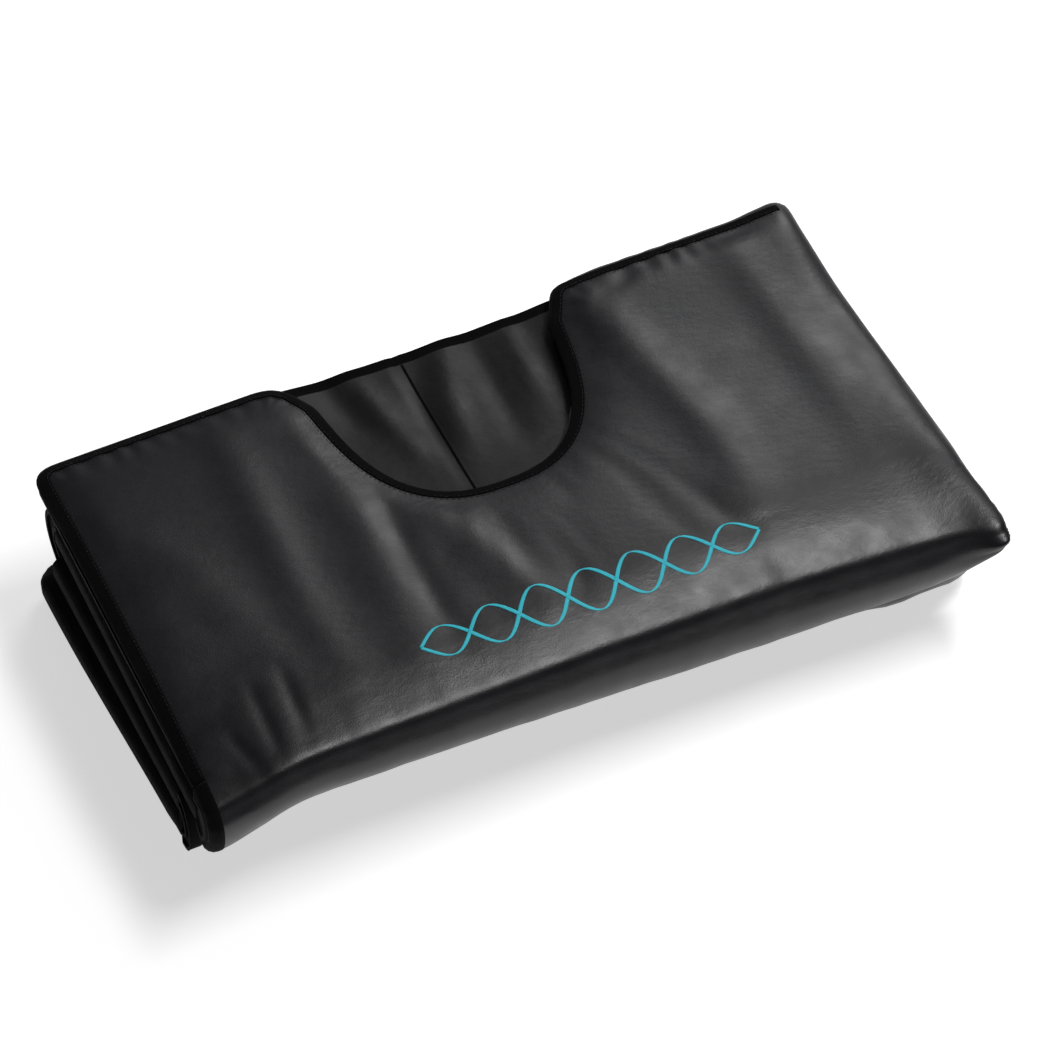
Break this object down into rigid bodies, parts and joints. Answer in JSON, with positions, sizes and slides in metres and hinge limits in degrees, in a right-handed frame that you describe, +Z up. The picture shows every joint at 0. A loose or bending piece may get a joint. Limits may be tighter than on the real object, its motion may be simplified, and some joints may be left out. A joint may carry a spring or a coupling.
{
  "type": "infrared sauna blanket",
  "caption": "Padded heated sauna blanket with a neck cut-out and an open, bound left side, folded in four into a stack; its folds open and its top corner peels back.",
  "frame": {"origin": "centre of the stack's bounding box, at its underside, on the surface it lies on", "axes": "+X along the hem, from the open bound side to the folded side; +Y from the front fold to the head hem; +Z up"},
  "size_m": [0.908, 0.5, 0.1918],
  "materials": {
    "shell": "satin",
    "tape": "matte",
    "insulation": "matte",
    "lining": "satin",
    "heater": "satin",
    "hook": "matte",
    "loop": "matte",
    "plastic": "satin",
    "contact": "polished",
    "lead": "matte",
    "motif": "satin"
  },
  "bodies": {
    "foot_panel": {"foot_shell": "shell", "foot_insulation": "insulation", "foot_lining": "lining", "foot_front_heater": "heater", "foot_back_heater": "heater", "foot_front_tape": "tape", "foot_back_tape": "tape", "foot_loop_strip": "loop", "foot_hook_strip": "hook", "foot_hem_tape": "tape", "fold_foot_shell": "shell", "fold_foot_filling": "insulation", "inlet_housing": "plastic", "contact_carrier": "plastic", "live_contact": "contact", "earth_contact": "contact", "neutral_contact": "contact", "power_lead": "lead", "thermal_cutout": "plastic", "temperature_sensor": "plastic"},
    "leg_panel": {"leg_shell": "shell", "leg_insulation": "insulation", "leg_lining": "lining", "leg_front_heater": "heater", "leg_back_heater": "heater", "leg_front_tape": "tape", "leg_back_tape": "tape", "leg_loop_strip": "loop", "leg_hook_strip": "hook", "fold_middle_shell": "shell", "fold_middle_filling": "insulation"},
    "chest_panel": {"chest_shell": "shell", "chest_insulation": "insulation", "chest_lining": "lining", "chest_front_heater": "heater", "chest_back_heater": "heater", "chest_front_tape": "tape", "chest_back_tape": "tape", "chest_loop_strip": "loop", "chest_hook_strip": "hook", "fold_head_shell": "shell", "fold_head_filling": "insulation"},
    "head_panel": {"head_shell": "shell", "head_insulation": "insulation", "head_lining": "lining", "head_front_heater": "heater", "head_back_heater": "heater", "head_front_tape": "tape", "head_back_tape": "tape", "head_loop_strip": "loop", "head_hook_strip": "hook", "neck_tape": "tape"},
    "free_corner": {"corner_shell": "shell", "corner_insulation": "insulation", "corner_lining": "lining", "corner_loop_strip": "loop", "corner_tape": "tape"}
  },
  "joints": [
    {"name": "fold_foot", "type": "hinge", "parent": "foot_panel", "child": "leg_panel", "pos_m": [-0.014, -0.1469, 0.0478], "axis": [1, 0, 0], "range_deg": [0, 180], "deforming": ["fold_foot_shell", "fold_foot_filling"]},
    {"name": "fold_middle", "type": "hinge", "parent": "leg_panel", "child": "chest_panel", "pos_m": [-0.014, 0.1989, 0.0959], "axis": [-1, 0, 0], "range_deg": [0, 180], "deforming": ["fold_middle_shell", "fold_middle_filling"]},
    {"name": "fold_head", "type": "hinge", "parent": "chest_panel", "child": "head_panel", "pos_m": [-0.014, -0.2019, 0.144], "axis": [1, 0, 0], "range_deg": [0, 180], "deforming": ["fold_head_shell", "fold_head_filling"]},
    {"name": "corner_peel", "type": "hinge", "parent": "head_panel", "child": "free_corner", "pos_m": [-0.454, -0.03, 0.1918], "axis": [0.6585, 0.7526, 0], "range_deg": [0, 120]}
  ],
  "couplings": [
    {"joint": "fold_middle", "follows": "fold_foot", "ratio": 1}
  ]
}
